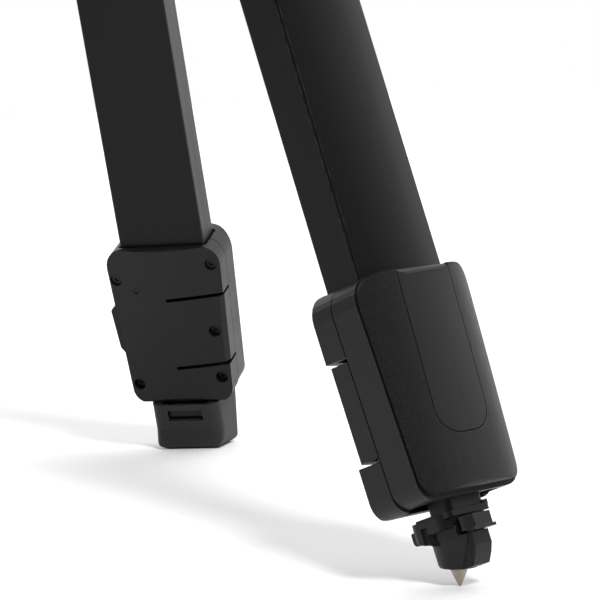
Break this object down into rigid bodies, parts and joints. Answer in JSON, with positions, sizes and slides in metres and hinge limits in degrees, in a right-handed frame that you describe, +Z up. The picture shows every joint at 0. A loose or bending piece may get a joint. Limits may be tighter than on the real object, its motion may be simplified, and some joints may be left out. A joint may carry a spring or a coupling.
{
  "type": "camera tripod",
  "caption": "Camera tripod: D-section telescoping legs with lock housings and levers, rubber feet over steel spikes, and a cast hub with a stud for a camera head.",
  "frame": {"origin": "centre of the head plate's top face, on the tripod's axis", "axes": "+Z up out of the head seat along the head stud; -Y toward the front leg, which stands on its bare spike; +X toward the right side"},
  "size_m": [0.5852, 0.5049, 0.8009],
  "materials": {
    "casting": "satin black coat on cast aluminium",
    "tube": "satin black with faint lengthwise lines",
    "shell": "satin black",
    "cover": "fine-grained black",
    "lever": "smooth satin black",
    "latch": "satin black",
    "rubber": "matte black",
    "spike_steel": "turned, slightly bronzed",
    "bright_steel": "satin",
    "dark_steel": "blackened",
    "grey_plastic": "moulded",
    "cup": "satin",
    "level_glass": "clear"
  },
  "bodies": {
    "hub": {"hub": "casting", "hinge_pins": "bright_steel", "head_plate": "casting", "head_stud": "bright_steel", "level_cup": "cup", "level_glass": "level_glass"},
    "front_leg": {"front_leg_top": "casting", "front_outer_tube": "tube", "front_guide_bush": "grey_plastic", "front_inner_shell": "shell", "front_outer_shell": "shell", "front_shell_screws": "dark_steel", "front_cover_plate": "cover", "front_lever_pin": "bright_steel"},
    "front_angle_lock": {"front_angle_lock": "bright_steel"},
    "front_lever": {"front_lock_lever": "lever"},
    "front_shoe": {"front_clamp_shoe": "grey_plastic"},
    "front_lower_leg": {"front_inner_tube": "tube", "front_top_glide": "grey_plastic", "front_foot_block": "shell", "front_spike": "spike_steel"},
    "front_latch": {"front_foot_latch": "latch"},
    "right_leg": {"right_leg_top": "casting", "right_outer_tube": "tube", "right_guide_bush": "grey_plastic", "right_inner_shell": "shell", "right_outer_shell": "shell", "right_shell_screws": "dark_steel", "right_cover_plate": "cover", "right_lever_pin": "bright_steel"},
    "right_angle_lock": {"right_angle_lock": "bright_steel"},
    "right_lever": {"right_lock_lever": "lever"},
    "right_shoe": {"right_clamp_shoe": "grey_plastic"},
    "right_lower_leg": {"right_inner_tube": "tube", "right_top_glide": "grey_plastic", "right_foot_block": "shell", "right_spike": "spike_steel", "right_rubber_foot": "rubber"},
    "right_latch": {"right_foot_latch": "latch"},
    "left_leg": {"left_leg_top": "casting", "left_outer_tube": "tube", "left_guide_bush": "grey_plastic", "left_inner_shell": "shell", "left_outer_shell": "shell", "left_shell_screws": "dark_steel", "left_cover_plate": "cover", "left_lever_pin": "bright_steel"},
    "left_angle_lock": {"left_angle_lock": "bright_steel"},
    "left_lever": {"left_lock_lever": "lever"},
    "left_shoe": {"left_clamp_shoe": "grey_plastic"},
    "left_lower_leg": {"left_inner_tube": "tube", "left_top_glide": "grey_plastic", "left_foot_block": "shell", "left_spike": "spike_steel", "left_rubber_foot": "rubber"},
    "left_latch": {"left_foot_latch": "latch"}
  },
  "joints": [
    {"name": "front_spread", "type": "hinge", "parent": "hub", "child": "front_leg", "pos_m": [0, -0.0545, -0.032], "axis": [-1, 0, 0], "range_deg": [-19, 0]},
    {"name": "front_extend", "type": "slide", "parent": "front_leg", "child": "front_lower_leg", "axis": [0, -0.3256, -0.9455], "range_m": [-0.0026, 0.5574]},
    {"name": "front_lever_swing", "type": "hinge", "parent": "front_leg", "child": "front_lever", "pos_m": [0, -0.29047, -0.65756], "axis": [-1, 0, 0], "range_deg": [0, 75]},
    {"name": "front_shoe_lift", "type": "slide", "parent": "front_leg", "child": "front_shoe", "axis": [0, -0.9455, 0.3256], "range_m": [0, 0.0003]},
    {"name": "front_angle_lock_slide", "type": "slide", "parent": "front_leg", "child": "front_angle_lock", "axis": [0, -0.3256, -0.9455], "range_m": [0, 0.006], "stiffness_N_per_m": 250, "springref_m": -0.002},
    {"name": "front_latch_press", "type": "slide", "parent": "front_lower_leg", "child": "front_latch", "axis": [0, 0.9455, -0.3256], "range_m": [0, 0.0015], "stiffness_N_per_m": 600, "springref_m": -0.001},
    {"name": "right_spread", "type": "hinge", "parent": "hub", "child": "right_leg", "pos_m": [0.0472, 0.02725, -0.032], "axis": [0.5, -0.866, 0], "range_deg": [-19, 0]},
    {"name": "right_extend", "type": "slide", "parent": "right_leg", "child": "right_lower_leg", "axis": [0.2819, 0.1628, -0.9455], "range_m": [0, 0.56]},
    {"name": "right_lever_swing", "type": "hinge", "parent": "right_leg", "child": "right_lever", "pos_m": [0.25156, 0.14524, -0.65756], "axis": [0.5, -0.866, 0], "range_deg": [0, 75]},
    {"name": "right_shoe_lift", "type": "slide", "parent": "right_leg", "child": "right_shoe", "axis": [0.8188, 0.4728, 0.3256], "range_m": [0, 0.0003]},
    {"name": "right_angle_lock_slide", "type": "slide", "parent": "right_leg", "child": "right_angle_lock", "axis": [0.2819, 0.1628, -0.9455], "range_m": [0, 0.006], "stiffness_N_per_m": 250, "springref_m": -0.002},
    {"name": "right_latch_press", "type": "slide", "parent": "right_lower_leg", "child": "right_latch", "axis": [-0.8188, -0.4728, -0.3256], "range_m": [0, 0.0015], "stiffness_N_per_m": 600, "springref_m": -0.001},
    {"name": "left_spread", "type": "hinge", "parent": "hub", "child": "left_leg", "pos_m": [-0.0472, 0.02725, -0.032], "axis": [0.5, 0.866, 0], "range_deg": [-19, 0]},
    {"name": "left_extend", "type": "slide", "parent": "left_leg", "child": "left_lower_leg", "axis": [-0.2819, 0.1628, -0.9455], "range_m": [0, 0.56]},
    {"name": "left_lever_swing", "type": "hinge", "parent": "left_leg", "child": "left_lever", "pos_m": [-0.25156, 0.14524, -0.65756], "axis": [0.5, 0.866, 0], "range_deg": [0, 75]},
    {"name": "left_shoe_lift", "type": "slide", "parent": "left_leg", "child": "left_shoe", "axis": [-0.8188, 0.4728, 0.3256], "range_m": [0, 0.0003]},
    {"name": "left_angle_lock_slide", "type": "slide", "parent": "left_leg", "child": "left_angle_lock", "axis": [-0.2819, 0.1628, -0.9455], "range_m": [0, 0.006], "stiffness_N_per_m": 250, "springref_m": -0.002},
    {"name": "left_latch_press", "type": "slide", "parent": "left_lower_leg", "child": "left_latch", "axis": [0.8188, -0.4728, -0.3256], "range_m": [0, 0.0015], "stiffness_N_per_m": 600, "springref_m": -0.001}
  ],
  "couplings": [
    {"joint": "front_shoe_lift", "follows": "front_lever_swing", "m_per_rad": 0.000229},
    {"joint": "right_shoe_lift", "follows": "right_lever_swing", "m_per_rad": 0.000229},
    {"joint": "left_shoe_lift", "follows": "left_lever_swing", "m_per_rad": 0.000229}
  ]
}
